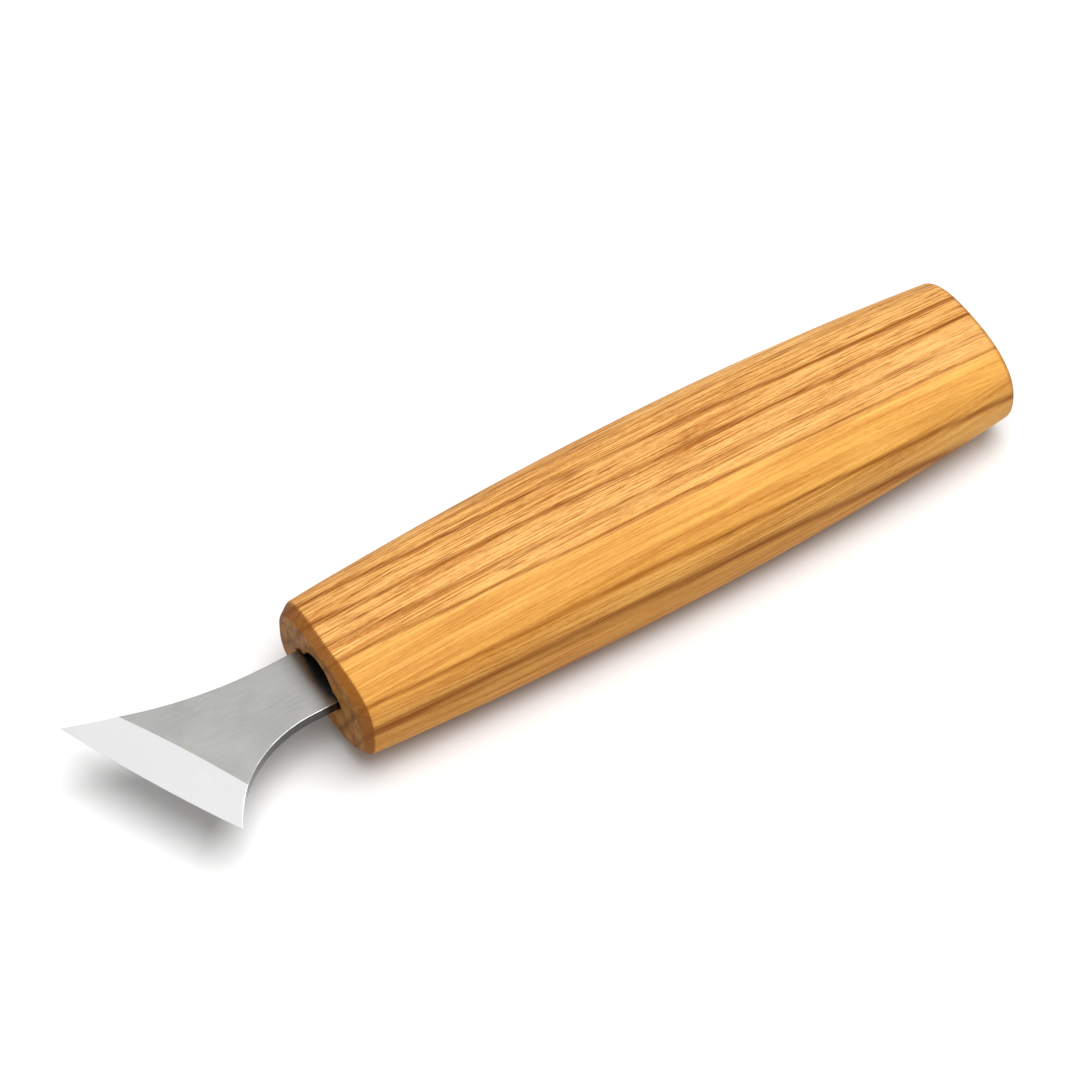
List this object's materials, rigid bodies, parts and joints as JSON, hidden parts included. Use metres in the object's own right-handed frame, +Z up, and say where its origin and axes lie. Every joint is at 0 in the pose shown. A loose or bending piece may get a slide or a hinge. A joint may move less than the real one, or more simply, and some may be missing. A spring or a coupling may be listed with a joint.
{
  "type": "whittling knife",
  "caption": "Whittling knife with a short fishtail blade, a skewed straight cutting edge and a barrel-shaped one-piece wooden handle.",
  "frame": {"origin": "middle of the underside of the bounding box, on the surface the knife lies on", "axes": "+X from the cutting edge to the butt, +Y towards the side with the edge's leading corner, +Z up through the broad side"},
  "size_m": [0.158, 0.0322, 0.021],
  "materials": {
    "handle_wood": "oiled ash, satin",
    "blade_steel": "satin ground, bevels polished",
    "adhesive": "set epoxy"
  },
  "bodies": {
    "root": {"handle": "handle_wood", "blade": "blade_steel", "adhesive": "adhesive"}
  },
  "joints": []
}
